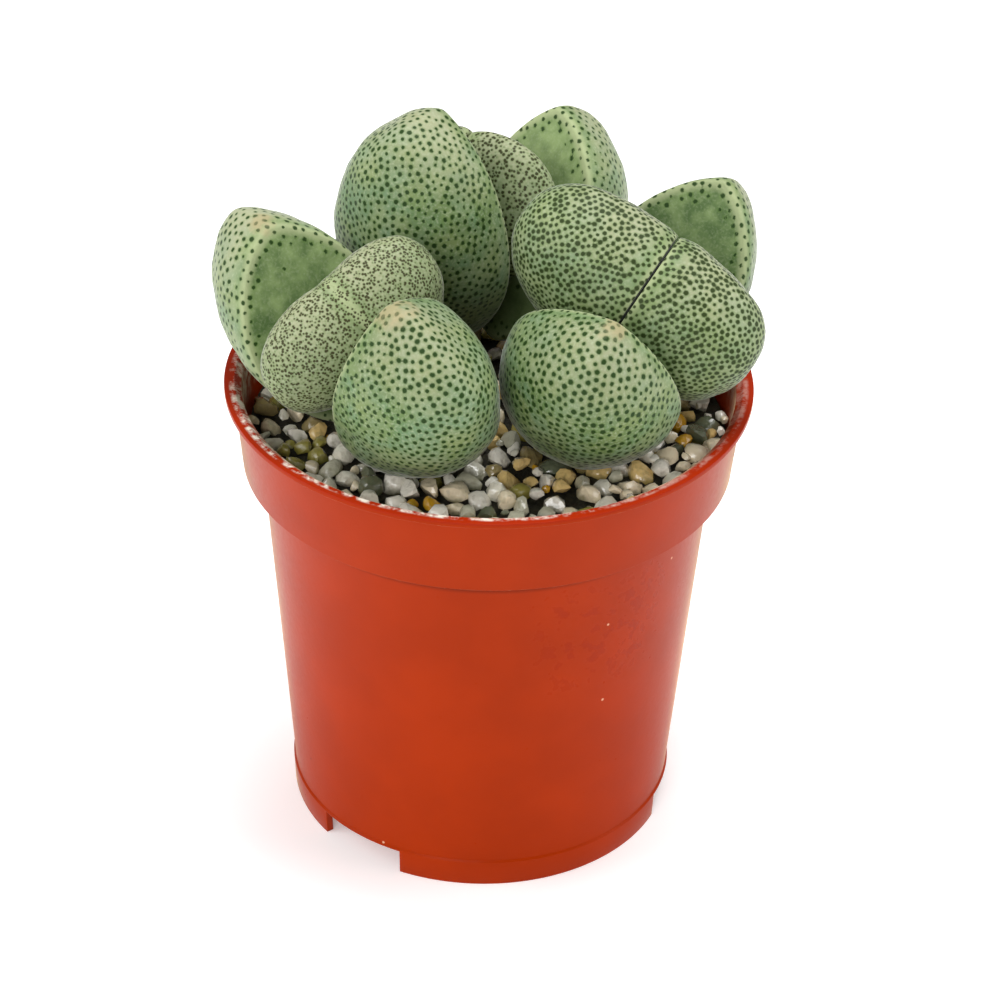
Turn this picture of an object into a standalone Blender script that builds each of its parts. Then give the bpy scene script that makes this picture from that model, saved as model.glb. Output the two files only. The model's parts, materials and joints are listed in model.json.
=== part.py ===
"""Potted split rock: three mimicry plants crowded in a 5.5 cm plastic nursery pot.

Sizes are in millimetres and angles in degrees, and each mesh is scaled to metres as it is made.
Everything is laid out from the pot's axis, with the foot on z = 0, and at the end it is moved so
that the origin is the middle of the whole footprint. The picture was taken from the -Y side.
Azimuths are measured from +X towards +Y, so the picture's viewer stands at azimuth 270.
"""

import math
import random
from collections import namedtuple

import bmesh
import bpy
from mathutils import Matrix, Vector
from mathutils.bvhtree import BVHTree

TO_METRES = 0.001
GAP = 0.3  # between touching pieces

# The leaves lean out furthest at the back, so the pot's axis stands off the footprint's middle.
POT_AXIS = (0.4, -1.2)

# Pot: a thin moulded wall with a stepped collar under the rim.
RIM_RADIUS = 27.5
POT_HEIGHT = 51.0
LIP_THICKNESS = 0.55
RIM_LAND = 1.1
WALL = 0.8
COLLAR_TOP_RADIUS = 26.55
COLLAR_BOTTOM_RADIUS = 25.7
COLLAR_BOTTOM = 41.85
BODY_TOP_RADIUS = 23.7
FOOT_LINE_RADIUS = 20.6
FOOT_LINE = 3.2
FOOT_LEDGE = 0.2
FOOT_TAPER = 0.15
FLOOR_TOP = 4.2
FLOOR_UNDERSIDE = 3.2
POT_SIDES = 64

# Three notches in the foot ring let the water out. The photo shows one whole and the edge of one.
NOTCH_AZIMUTHS = (231.5, 351.5, 111.5)
NOTCH_WIDTH_DEG = 29.0
NOTCH_TOP_DROP = 0.35
CENTRE_HOLE_RADIUS = 3.0
DRAIN_RADIUS = 2.0
DRAIN_RING_RADIUS = 12.5
DRAIN_AZIMUTHS = (51.5, 171.5, 291.5)
DRAIN_SIDES = 12

# Potting mix below, grit on top.
LEDGE_TOP = 42.65
MIX_TOP = 42.4
GRIT_LEVEL = 46.0
FILL_SIDES = 40
GRAIN_SEED = 11
GRAIN_TRIES = 9000
GRAIN_SPACING = 2.15
GRAIN_HALF_SIZE = (1.1, 1.5)
GRAIN_BREADTH = (0.75, 0.95)
GRAIN_FLATNESS = (0.6, 0.9)
GRAIN_TILT = 0.5
GRAIN_CENTRE_RISE = (0.0, 0.5)
GRAIN_CORNERS = 9
GRAIN_CORNER_SCATTER = 0.25
GRAIN_SINK_STEP = 0.25
GRAIN_LEAST_RISE = 0.25

# Stems: a short stem that flares to carry the leaves, over a taproot, in a plain hole.
CROWN_HEIGHT = 48.0
STEM_RADIUS = 3.0
FLARE_START = 48.5
FLARE_RADIUS = 5.5
FLARE_HEIGHT = 54.0
STEM_TOP = 55.5
ROOT_TOP = 42.0
ROOT_TIP = 20.0
ROOT_TIP_RADIUS = 0.8
STEM_SIDES = 16

# Leaves: a flat inner face with a blunt tip, and a full, domed back that overhangs the tip.
LEAF_SIDES = 24
BACK_RINGS = 6
FIRST_BACK_ANGLE = 9.0
FACE_EDGE_START = 0.93
FACE_EDGE_ROUND = 0.985
FACE_EDGE_DEPTH = 0.02
BACK_FULLNESS = 0.87
BACK_ROUNDNESS = 0.92

# tip_point and heel_point: 1 is round as an ellipse, more is pointed and less is square.
Kind = namedtuple("Kind", "tip_point heel_point chin widest stand_off")
OLD = Kind(tip_point=1.4, heel_point=1.4, chin=0.2, widest=0.47, stand_off=1.2)
FULL = Kind(tip_point=1.4, heel_point=0.85, chin=0.2, widest=0.47, stand_off=1.2)
SQUARE = Kind(tip_point=1.4, heel_point=0.4, chin=0.2, widest=0.47, stand_off=1.2)
HOODED = Kind(tip_point=1.4, heel_point=1.4, chin=0.45, widest=0.47, stand_off=1.2)
YOUNG = Kind(tip_point=1.2, heel_point=1.4, chin=0.15, widest=0.52, stand_off=0.2)

CROWNS = {"left": (-10.25, -5.0), "rear": (-4.0, 14.0), "right": (11.5, -0.25)}

# azimuth: the way the back faces. lean: how far the leaf tips that way. twist: its turn about the
# line square to its face. aside and lift: where its base sits beside and above the crown.
Leaf = namedtuple("Leaf", "plant name kind azimuth lean twist length half_width thickness aside lift")
LEAVES = (
    Leaf("left", "old_back", HOODED, 120, 25, -16, 23.25, 8.25, 11.25, -2.25, 1.5),
    Leaf("left", "old_front", SQUARE, 314, 19, 20, 23.25, 8.25, 13.25, -0.25, 0.75),
    Leaf("left", "young_front", YOUNG, 213, 29, 3, 14.25, 5.25, 11.0, -0.5, 6.25),
    Leaf("left", "young_back", YOUNG, 33, -29, -3, 14.25, 5.25, 10.25, 0.5, 6.25),
    Leaf("rear", "old_front", OLD, 228, 1, -3, 29.0, 10.5, 11.5, 1.5, -1.25),
    Leaf("rear", "old_back", OLD, 41, 31, -12, 26.5, 9.0, 11.75, 4.75, 0.0),
    Leaf("rear", "young_back", YOUNG, 150, 4, 9, 17.25, 4.0, 4.75, 2.25, 5.25),
    Leaf("rear", "young_front", YOUNG, 330, -4, -9, 17.25, 4.0, 10.5, -2.25, 5.25),
    Leaf("right", "old_front", FULL, 239, 30, -24, 25.0, 9.75, 10.75, 1.5, -0.25),
    Leaf("right", "old_back", OLD, 69, 34, 19, 26.25, 8.5, 11.0, -0.75, 1.0),
    Leaf("right", "young_left", YOUNG, 159, -26, 1, 18.0, 7.25, 14.5, -1.75, 6.0),
    Leaf("right", "young_right", YOUNG, 339, 26, -1, 18.0, 7.25, 13.5, 1.75, 6.0),
)


def clear_scene():
    for obj in list(bpy.data.objects):
        bpy.data.objects.remove(obj, do_unlink=True)


def material(name, colour, roughness):
    made = bpy.data.materials.new(name)
    made.use_nodes = True
    shader = made.node_tree.nodes["Principled BSDF"]
    shader.inputs["Base Color"].default_value = (*colour, 1.0)
    shader.inputs["Roughness"].default_value = roughness
    shader.inputs["Metallic"].default_value = 0.0
    return made


def mesh_object(name, bm, surface=None, smooth_angle=40.0):
    """An object made from a bmesh in millimetres, with its faces turned outwards."""
    bmesh.ops.recalc_face_normals(bm, faces=bm.faces)
    bm.transform(Matrix.Scale(TO_METRES, 4))
    mesh = bpy.data.meshes.new(name)
    bm.to_mesh(mesh)
    bm.free()
    mesh.shade_smooth()
    mesh.set_sharp_from_angle(angle=math.radians(smooth_angle))
    if surface:
        mesh.materials.append(surface)
    obj = bpy.data.objects.new(name, mesh)
    bpy.context.scene.collection.objects.link(obj)
    return obj


def as_cutter(obj):
    obj.hide_render = True
    obj.display_type = "WIRE"
    return obj


def boolean(obj, operation, cutter=None, collection=None, solver="EXACT"):
    modifier = obj.modifiers.new(operation.lower(), "BOOLEAN")
    modifier.operation = operation
    modifier.solver = solver
    if collection:
        modifier.operand_type = "COLLECTION"
        modifier.collection = collection
    else:
        modifier.object = cutter
    return modifier


def apply_modifiers(obj):
    graph = bpy.context.evaluated_depsgraph_get()
    finished = bpy.data.meshes.new_from_object(obj.evaluated_get(graph))
    obj.modifiers.clear()
    obj.data = finished


def bridge(bm, rings):
    """Quads between each ring of vertices and the next."""
    for ring, following in zip(rings, rings[1:]):
        for i in range(len(ring)):
            k = (i + 1) % len(ring)
            bm.faces.new((ring[i], ring[k], following[k], following[i]))


def fan(bm, ring, centre):
    hub = bm.verts.new(centre)
    for i in range(len(ring)):
        bm.faces.new((ring[i], ring[(i + 1) % len(ring)], hub))


def circle(bm, radius, height, sides, centre=(0.0, 0.0)):
    ring = []
    for i in range(sides):
        turn = math.tau * i / sides
        x = centre[0] + radius * math.cos(turn)
        y = centre[1] + radius * math.sin(turn)
        ring.append(bm.verts.new((x, y, height)))
    return ring


def turned(name, profile, sides, surface=None, closed_loop=False, centre=(0.0, 0.0)):
    """A turned solid. profile lists (radius, height), and a closed loop leaves a hole at the axis."""
    bm = bmesh.new()
    rings = [circle(bm, radius, height, sides, centre) for radius, height in profile]
    bridge(bm, rings + rings[:1] if closed_loop else rings)
    if not closed_loop:
        bm.faces.new(rings[0])
        bm.faces.new(rings[-1])
    return mesh_object(name, bm, surface)


def wall_radius(height):
    """Outer radius of the tapered body."""
    along = (height - FOOT_LINE) / (COLLAR_BOTTOM - FOOT_LINE)
    return FOOT_LINE_RADIUS + along * (BODY_TOP_RADIUS - FOOT_LINE_RADIUS)


def inner_radius(height):
    return wall_radius(height) - WALL


def collar_inner_radius(height):
    along = (height - COLLAR_BOTTOM) / (POT_HEIGHT - COLLAR_BOTTOM)
    return COLLAR_BOTTOM_RADIUS + along * (COLLAR_TOP_RADIUS - COLLAR_BOTTOM_RADIUS) - WALL


def pot_profile():
    foot_top = FOOT_LINE - FOOT_LEDGE
    foot_radius = FOOT_LINE_RADIUS + FOOT_LEDGE
    land_start = RIM_RADIUS - RIM_LAND
    edge = LIP_THICKNESS / 4
    return (
        (RIM_RADIUS - edge, POT_HEIGHT),
        (RIM_RADIUS, POT_HEIGHT - edge),
        (RIM_RADIUS, POT_HEIGHT - LIP_THICKNESS + edge),
        (RIM_RADIUS - edge, POT_HEIGHT - LIP_THICKNESS),
        (COLLAR_TOP_RADIUS, POT_HEIGHT - LIP_THICKNESS - edge),
        (COLLAR_BOTTOM_RADIUS, COLLAR_BOTTOM + edge),
        (COLLAR_BOTTOM_RADIUS - edge, COLLAR_BOTTOM),
        (BODY_TOP_RADIUS, COLLAR_BOTTOM),
        (FOOT_LINE_RADIUS, FOOT_LINE),
        (foot_radius, foot_top),
        (foot_radius - FOOT_TAPER, 0.0),
        (foot_radius - FOOT_TAPER - WALL, 0.0),
        (foot_radius - WALL, FLOOR_UNDERSIDE),
        (CENTRE_HOLE_RADIUS, FLOOR_UNDERSIDE),
        (CENTRE_HOLE_RADIUS, FLOOR_TOP),
        (inner_radius(FLOOR_TOP), FLOOR_TOP),
        (inner_radius(LEDGE_TOP), LEDGE_TOP),
        (collar_inner_radius(LEDGE_TOP), LEDGE_TOP),
        (collar_inner_radius(POT_HEIGHT - LIP_THICKNESS), POT_HEIGHT - LIP_THICKNESS),
        (land_start, POT_HEIGHT),
    )


def notch_cutter(azimuth):
    """A block that takes the foot ring away over the notch's width, up to just under the foot line."""
    half = math.radians(NOTCH_WIDTH_DEG / 2)
    inner = (FOOT_LINE_RADIUS - 3 * WALL) * math.cos(half)
    outer = FOOT_LINE_RADIUS + 3 * WALL
    bm = bmesh.new()
    rings = []
    for height in (-1.0, FOOT_LINE - NOTCH_TOP_DROP):
        ring = []
        for radius, turn in ((inner, -half), (outer, -half), (outer, half), (inner, half)):
            angle = math.radians(azimuth) + turn
            ring.append(bm.verts.new((radius * math.cos(angle), radius * math.sin(angle), height)))
        rings.append(ring)
    bridge(bm, rings)
    bm.faces.new(rings[0])
    bm.faces.new(rings[-1])
    return mesh_object(f"cutter_notch_{azimuth:.0f}", bm)


def drain_cutter(azimuth):
    turn = math.radians(azimuth)
    centre = (DRAIN_RING_RADIUS * math.cos(turn), DRAIN_RING_RADIUS * math.sin(turn))
    profile = ((DRAIN_RADIUS, FLOOR_UNDERSIDE - 1), (DRAIN_RADIUS, FLOOR_TOP + 1))
    return turned(f"cutter_drain_{azimuth:.0f}", profile, DRAIN_SIDES, centre=centre)


def make_pot(surface):
    pot = turned("pot", pot_profile(), POT_SIDES, surface, closed_loop=True)
    for azimuth in NOTCH_AZIMUTHS:
        boolean(pot, "DIFFERENCE", as_cutter(notch_cutter(azimuth)))
    for azimuth in DRAIN_AZIMUTHS:
        boolean(pot, "DIFFERENCE", as_cutter(drain_cutter(azimuth)))


def root_radius(height):
    along = (height - ROOT_TIP) / (ROOT_TOP - ROOT_TIP)
    return ROOT_TIP_RADIUS + min(1.0, along) * (STEM_RADIUS - ROOT_TIP_RADIUS)


def hole_cutter(plant, bottom, top):
    """A plain round hole that a stem and its root stand in."""
    profile = ((root_radius(bottom) + GAP, bottom), (root_radius(top) + GAP, top))
    if bottom < ROOT_TOP < top:
        profile = (profile[0], (STEM_RADIUS + GAP, ROOT_TOP), profile[1])
    name = f"cutter_hole_{plant}_{bottom:.0f}"
    return as_cutter(turned(name, profile, STEM_SIDES, centre=CROWNS[plant]))


def make_potting_mix(surface):
    bottom = FLOOR_TOP + GAP
    profile = ((inner_radius(bottom) - GAP, bottom), (inner_radius(MIX_TOP) - GAP, MIX_TOP))
    mix = turned("potting_mix", profile, FILL_SIDES, surface)
    for plant in CROWNS:
        boolean(mix, "DIFFERENCE", hole_cutter(plant, ROOT_TIP - GAP, MIX_TOP + 1))


def tip_height(leaf):
    return leaf.length * (1 - leaf.kind.widest)


def edge_point(leaf, turn, softness):
    """The face's edge at an angle from the tip, as (up, across) from its widest line.

    softness 1 gives the blunt corners of the face, and 0 an ellipse, as the back has at its pole.
    """
    up, across = math.cos(turn), math.sin(turn)
    height = tip_height(leaf) if up >= 0 else leaf.length * leaf.kind.widest
    corner = leaf.kind.tip_point if up >= 0 else leaf.kind.heel_point
    power = 1 + (corner - 1) * softness
    return height * up, leaf.half_width * math.copysign(abs(across) ** power, across)


def leaf_ring(leaf, scale, depth, softness=1.0):
    """One closed ring round the leaf, square to its depth. depth runs from 0 at the face to 1."""
    widest_line = leaf.length * leaf.kind.widest + leaf.kind.chin * tip_height(leaf) * depth
    ring = []
    for i in range(LEAF_SIDES):
        up, across = edge_point(leaf, math.tau * i / LEAF_SIDES, softness)
        ring.append(Vector((across * scale, leaf.thickness * depth, widest_line + up * scale)))
    return ring


def leaf_bmesh(leaf, grow=0.0):
    """The leaf in its own axes: X across, Y out through the back, Z from base to tip."""
    bm = bmesh.new()
    outlines = [
        leaf_ring(leaf, FACE_EDGE_START, 0.0),
        leaf_ring(leaf, FACE_EDGE_ROUND, FACE_EDGE_DEPTH),
    ]
    for i in range(BACK_RINGS):
        angle = math.radians(FIRST_BACK_ANGLE + (90 - FIRST_BACK_ANGLE) * i / BACK_RINGS)
        scale = math.cos(angle) ** BACK_FULLNESS
        depth = math.sin(angle) ** BACK_ROUNDNESS
        outlines.append(leaf_ring(leaf, scale, depth, math.cos(angle) ** 2))
    rings = [[bm.verts.new(point) for point in outline] for outline in outlines]
    bridge(bm, rings)
    widest_line = leaf.length * leaf.kind.widest
    fan(bm, rings[0], (0, 0, widest_line))
    fan(bm, rings[-1], (0, leaf.thickness, widest_line + leaf.kind.chin * tip_height(leaf)))
    bmesh.ops.recalc_face_normals(bm, faces=bm.faces)
    bm.normal_update()
    for vertex in bm.verts:
        vertex.co += vertex.normal * grow
    return bm


def leaf_matrix(leaf):
    """Places the leaf from its crown, in millimetres."""
    outward = Matrix.Rotation(math.radians(leaf.azimuth - 90), 4, "Z")
    lean = Matrix.Rotation(math.radians(-leaf.lean), 4, "X")
    twist = Matrix.Rotation(math.radians(leaf.twist), 4, "Y")
    turn = outward @ lean @ twist
    seat = turn @ Vector((leaf.aside, leaf.kind.stand_off, 0)) + Vector((0, 0, leaf.lift))
    return Matrix.Translation(seat) @ turn


def crown(plant):
    return Vector((*CROWNS[plant], CROWN_HEIGHT))


def in_metres(matrix):
    scaled = matrix.copy()
    scaled.translation *= TO_METRES
    return scaled


def make_leaves(surfaces):
    for plant in CROWNS:
        holder = bpy.data.objects.new(f"plant_{plant}", None)
        holder.location = crown(plant) * TO_METRES
        bpy.context.scene.collection.objects.link(holder)
        for leaf in LEAVES:
            if leaf.plant != plant:
                continue
            name = f"leaf_{leaf.plant}_{leaf.name}"
            obj = mesh_object(name, leaf_bmesh(leaf), surfaces[leaf.kind is YOUNG])
            obj.parent = holder
            obj.matrix_local = in_metres(leaf_matrix(leaf))


def world_leaf_bmesh(leaf, grow):
    bm = leaf_bmesh(leaf, grow)
    bm.transform(Matrix.Translation(crown(leaf.plant)) @ leaf_matrix(leaf))
    return bm


def make_stem(plant, surface):
    """A short stem and taproot, hollowed where the leaves of its own plant sit against it."""
    profile = (
        (ROOT_TIP_RADIUS, ROOT_TIP),
        (STEM_RADIUS, ROOT_TOP),
        (STEM_RADIUS, FLARE_START),
        (FLARE_RADIUS, FLARE_HEIGHT),
        (STEM_RADIUS, STEM_TOP),
    )
    stem = turned(f"stem_{plant}", profile, STEM_SIDES, surface, centre=CROWNS[plant])
    for leaf in LEAVES:
        if leaf.plant == plant:
            cutter = mesh_object(f"cutter_{plant}_{leaf.name}", world_leaf_bmesh(leaf, GAP))
            boolean(stem, "DIFFERENCE", as_cutter(cutter))


def grain_corners(rng):
    """Corner directions of one grain: an even spread, each pushed off its place a little."""
    corners = []
    for i in range(GRAIN_CORNERS):
        height = 1 - (2 * i + 1) / GRAIN_CORNERS
        turn = i * math.pi * (3 - math.sqrt(5))
        reach = math.sqrt(1 - height * height)
        corner = Vector((reach * math.cos(turn), reach * math.sin(turn), height))
        scatter = Vector((rng.uniform(-1, 1), rng.uniform(-1, 1), rng.uniform(-1, 1)))
        corners.append((corner + GRAIN_CORNER_SCATTER * scatter).normalized())
    return corners


def grain_shape(rng):
    """Corner points of one grain about its own centre, turned at random."""
    length = rng.uniform(*GRAIN_HALF_SIZE)
    breadth = length * rng.uniform(*GRAIN_BREADTH)
    depth = length * rng.uniform(*GRAIN_FLATNESS)
    roll = Matrix.Rotation(rng.uniform(0, math.tau), 3, "Z")
    tilt = Matrix.Rotation(rng.uniform(-GRAIN_TILT, GRAIN_TILT), 3, "X")
    spin = Matrix.Rotation(rng.uniform(0, math.tau), 3, "Z")
    turn = spin @ tilt @ roll
    return [turn @ Vector((c.x * length, c.y * breadth, c.z * depth)) for c in grain_corners(rng)]


def hull(points):
    bm = bmesh.new()
    bmesh.ops.convex_hull(bm, input=[bm.verts.new(point) for point in points])
    return bm


def grain_places(rng):
    """Centres on the grit's surface, no two nearer than the spacing, clear of the wall and stems."""
    reach = collar_inner_radius(GRIT_LEVEL) - GAP - GRAIN_HALF_SIZE[0]
    places = []
    for _ in range(GRAIN_TRIES):
        spot = Vector((rng.uniform(-reach, reach), rng.uniform(-reach, reach)))
        if spot.length > reach:
            continue
        stem_reach = STEM_RADIUS + GAP + GRAIN_HALF_SIZE[1]
        if any((spot - Vector(at)).length < stem_reach for at in CROWNS.values()):
            continue
        if all((spot - other).length > GRAIN_SPACING for other in places):
            places.append(spot)
    return places


def settled_grain(rng, spot, leaf_trees):
    """A grain sunk just far enough to clear the leaves above it, or None if none of it would show."""
    shape = grain_shape(rng)
    reach = collar_inner_radius(GRIT_LEVEL) - GAP
    widest = max(point.xy.length for point in shape)
    if spot.length + widest > reach:
        spot = spot * ((reach - widest) / spot.length)
    rise = rng.uniform(*GRAIN_CENTRE_RISE)
    top = max(point.z for point in shape)
    while rise + top > GRAIN_LEAST_RISE:
        grain = hull([point + Vector((spot.x, spot.y, GRIT_LEVEL + rise)) for point in shape])
        tree = BVHTree.FromBMesh(grain)
        if not any(leaf_tree.overlap(tree) for leaf_tree in leaf_trees):
            return grain
        grain.free()
        rise -= GRAIN_SINK_STEP
    return None


def make_grit(surface):
    """One bed of grit with its top grains fused to it."""
    bottom = LEDGE_TOP + GAP
    profile = (
        (collar_inner_radius(bottom) - GAP, bottom),
        (collar_inner_radius(GRIT_LEVEL) - GAP, GRIT_LEVEL),
    )
    grit = turned("grit", profile, FILL_SIDES, surface)
    rng = random.Random(GRAIN_SEED)
    leaf_trees = [BVHTree.FromBMesh(world_leaf_bmesh(leaf, GAP)) for leaf in LEAVES]
    grains = bpy.data.collections.new("grains")
    bpy.context.scene.collection.children.link(grains)
    for spot in grain_places(rng):
        shape = settled_grain(rng, spot, leaf_trees)
        if shape:
            grain = mesh_object("grain", shape)
            bpy.context.scene.collection.objects.unlink(grain)
            grains.objects.link(grain)
    boolean(grit, "UNION", collection=grains, solver="MANIFOLD")
    apply_modifiers(grit)
    for grain in list(grains.objects):
        bpy.data.objects.remove(grain, do_unlink=True)
    bpy.data.collections.remove(grains)
    for plant in CROWNS:
        boolean(grit, "DIFFERENCE", hole_cutter(plant, bottom - 1, CROWN_HEIGHT + 2))


def centre_footprint():
    """Moves every piece, cutter and plant holder so that the pot's axis stands at POT_AXIS."""
    for obj in bpy.data.objects:
        if obj.parent is None:
            obj.location += Vector((*POT_AXIS, 0.0)) * TO_METRES


def main():
    clear_scene()
    make_pot(material("terracotta_plastic", (0.46, 0.04, 0.006), 0.35))
    make_potting_mix(material("potting_mix", (0.03, 0.02, 0.013), 0.95))
    make_grit(material("quartz_grit", (0.32, 0.29, 0.22), 0.6))
    stem_surface = material("stem_skin", (0.2, 0.17, 0.08), 0.8)
    for plant in CROWNS:
        make_stem(plant, stem_surface)
    old = material("old_leaf_skin", (0.27, 0.35, 0.18), 0.55)
    young = material("young_leaf_skin", (0.24, 0.3, 0.16), 0.55)
    make_leaves({False: old, True: young})
    centre_footprint()


main()
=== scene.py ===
"""Potted split rock: three mimicry plants in a small plastic nursery pot, dressed for rendering.

The plants are crowded in a 5.5 cm pot topped with quartz grit. Each leaf is grown by one geometry
tree from its own length, width and thickness, and the grit chips are laid by another.
Sizes in the code are in millimetres, and meshes are scaled to metres as they are finished.
"""

import json
import math
import random
from collections import namedtuple

import bmesh
import bpy
from bpy.props import FloatProperty, FloatVectorProperty, IntProperty, PointerProperty
from mathutils import Matrix, Vector, noise
from mathutils.bvhtree import BVHTree

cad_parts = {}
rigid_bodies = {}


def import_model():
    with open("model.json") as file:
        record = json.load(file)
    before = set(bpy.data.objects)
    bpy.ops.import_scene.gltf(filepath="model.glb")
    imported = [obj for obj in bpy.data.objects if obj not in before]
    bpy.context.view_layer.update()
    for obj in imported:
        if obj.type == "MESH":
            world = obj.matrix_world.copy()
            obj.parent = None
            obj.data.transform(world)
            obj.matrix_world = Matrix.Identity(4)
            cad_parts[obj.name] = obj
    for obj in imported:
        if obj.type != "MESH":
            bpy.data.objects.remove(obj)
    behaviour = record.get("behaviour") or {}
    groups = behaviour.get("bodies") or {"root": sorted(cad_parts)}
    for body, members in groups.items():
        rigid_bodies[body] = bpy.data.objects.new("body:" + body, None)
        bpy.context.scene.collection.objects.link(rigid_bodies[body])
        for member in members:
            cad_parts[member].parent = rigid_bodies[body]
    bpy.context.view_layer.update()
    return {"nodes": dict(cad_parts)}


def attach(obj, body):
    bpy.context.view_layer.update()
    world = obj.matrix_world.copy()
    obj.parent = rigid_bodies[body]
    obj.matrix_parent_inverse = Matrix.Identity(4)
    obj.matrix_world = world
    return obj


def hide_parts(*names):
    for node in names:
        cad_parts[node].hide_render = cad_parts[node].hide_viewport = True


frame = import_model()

bl_info = {
    "name": "Potted split rock",
    "version": (1, 0, 0),
    "blender": (4, 5, 0),
    "location": "3D View > Sidebar > Split rock",
    "description": "Dresses a potted split rock plant: pot, grit, leaves, stems and studio",
    "category": "Object",
}

MM = 0.001
# The room left between pieces, and how near counts as the same place.
GAP = 0.3
NEAR = 0.01
COLOUR = {"subtype": "COLOR", "size": 4, "min": 0, "max": 1}

# The kinds of node that are used most.
MATH = "ShaderNodeMath"
VECTORS = "ShaderNodeVectorMath"
RANGE = "ShaderNodeMapRange"
NOISE = "ShaderNodeTexNoise"
MIX = "ShaderNodeMix"

# Pieces are laid out from the pot's axis, which stands here, off the middle of the footprint.
POT_AXIS = (0.4, -1.2)

# The pot's profile, from the rim to the foot.
LIP_THICKNESS = 0.55
RIM_LAND = 1.1
WALL = 0.8
COLLAR_TOP_RADIUS = 26.55
COLLAR_BOTTOM_RADIUS = 25.7
COLLAR_BOTTOM = 41.85
BODY_TOP_RADIUS = 23.7
FOOT_LINE_RADIUS = 20.6
FOOT_LINE = 3.2
FOOT_LEDGE = 0.2
FOOT_TAPER = 0.15
FLOOR_TOP = 4.2
FLOOR_UNDERSIDE = 3.2
LEDGE_TOP = 42.65
NOTCH_AZIMUTHS = (231.5, 351.5, 111.5)
NOTCH_WIDTH_DEG = 29.0
NOTCH_TOP_DROP = 0.35
CENTRE_HOLE_RADIUS = 3.0
DRAIN_RADIUS = 2.0
DRAIN_RING_RADIUS = 12.5
DRAIN_AZIMUTHS = (51.5, 171.5, 291.5)
EDGE_ROUNDING = 0.13
POT_SIDES = 192
HOLE_SIDES = 32

# The bed of dust and fines: how far its top lies below the grit's level, and how crumbly it is.
BED_DROP = 0.9
BED_CRUMBS = 0.35
BED_SIDES = 160
BED_RINGS = 60

# Chips: how close they lie, as a share of their radii together, how deep they sit, as a share of
# their radius, and how much that varies. They keep clear of leaves, and none is buried.
CHIP_CLOSENESS = 0.86
CHIP_SINK = 0.4
CHIP_SCATTER = (-0.5, 0.7)
CHIP_LEAF_ROOM = 0.12
CHIP_LEAF_REACH = 0.6
CHIP_WALL_ROOM = 0.1
CHIP_DEEPEST = 1.3
CHIP_TILT = 0.5
CHIP_SHAPES = 12
CHIP_FLATS = 9

# Leaves: the turn of the back's curve where it leaves the face's margin, and its fullness.
FIRST_BACK_ANGLE = 9.0
BACK_FULLNESS = 0.87
BACK_ROUNDNESS = 0.92
KEEL_NARROWNESS = 0.45
# How far apart in the noise two leaves take their dents from, so that none are alike.
SEED_SHIFT = 37.0
# What shares of a leaf's rings lie on its margin, on a face that shows, and on one that doesn't.
MARGIN_SHARE = 0.15
OPEN_FACE_SHARE = 0.3
HIDDEN_FACE_SHARE = 0.1
# Segments and rings. A mesh laid dot by dot needs several points to a dot, and a fine pattern none.
OLD_MESH = (280, 140)
YOUNG_MESH = (360, 160)
FINE_MESH = (120, 80)
# Dots fill a face's edge to the first of these widths, and thin out by the second to a small share.
DOTTED_EDGE = (0.9, 1.7)
FACE_DOTS = 0.03
DOT_VARIATION = (0.7, 1.15)
DOT_TRIES = 9.0

# tip_point and heel_point: 1 is round as an ellipse, more is pointed and less is square. chin: how
# far the back leans up towards the tip. widest: how far up it is widest. stand_off: its distance
# from the crown. margin and face_forward: how far the face is drawn in and stands forward.
Kind = namedtuple("Kind", "tip_point heel_point chin widest stand_off margin face_forward")
OLD = Kind(1.4, 1.4, chin=0.2, widest=0.47, stand_off=1.2, margin=0.06, face_forward=0.0)
FULL = OLD._replace(heel_point=0.85)
SQUARE = OLD._replace(heel_point=0.4)
HOODED = OLD._replace(chin=0.45)
YOUNG = Kind(1.2, 1.4, chin=0.15, widest=0.52, stand_off=0.2, margin=0.045, face_forward=0.07)
TIGHT = YOUNG._replace(margin=0.012, face_forward=0.2)

CROWN_HEIGHT = 48.0
STEM_RADIUS = 3.0
CROWNS = {"left": (-10.25, -5.0), "rear": (-4.0, 14.0), "right": (11.5, -0.25)}

Leaf = namedtuple("Leaf", "plant name kind azimuth lean twist length half_width thickness aside lift")
LEAVES = (
    Leaf("left", "old_back", HOODED, 120, 25, -16, 23.25, 8.25, 11.25, -2.25, 1.5),
    Leaf("left", "old_front", SQUARE, 314, 19, 20, 23.25, 8.25, 13.25, -0.25, 0.75),
    Leaf("left", "young_front", TIGHT, 213, 29, 3, 14.25, 5.25, 11.0, -0.5, 6.25),
    Leaf("left", "young_back", TIGHT, 33, -29, -3, 14.25, 5.25, 10.25, 0.5, 6.25),
    Leaf("rear", "old_front", OLD, 228, 1, -3, 29.0, 10.5, 11.5, 1.5, -1.25),
    Leaf("rear", "old_back", OLD, 41, 31, -12, 26.5, 9.0, 11.75, 4.75, 0.0),
    Leaf("rear", "young_back", YOUNG, 150, 4, 9, 17.25, 4.0, 4.75, 2.25, 5.25),
    Leaf("rear", "young_front", YOUNG, 330, -4, -9, 17.25, 4.0, 10.5, -2.25, 5.25),
    Leaf("right", "old_front", FULL, 239, 30, -24, 25.0, 9.75, 10.75, 1.5, -0.25),
    Leaf("right", "old_back", OLD, 69, 34, 19, 26.25, 8.5, 11.0, -0.75, 1.0),
    Leaf("right", "young_left", YOUNG, 159, -26, 1, 18.0, 7.25, 14.5, -1.75, 6.0),
    Leaf("right", "young_right", YOUNG, 339, 26, -1, 18.0, 7.25, 13.5, 1.75, 6.0),
)

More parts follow.
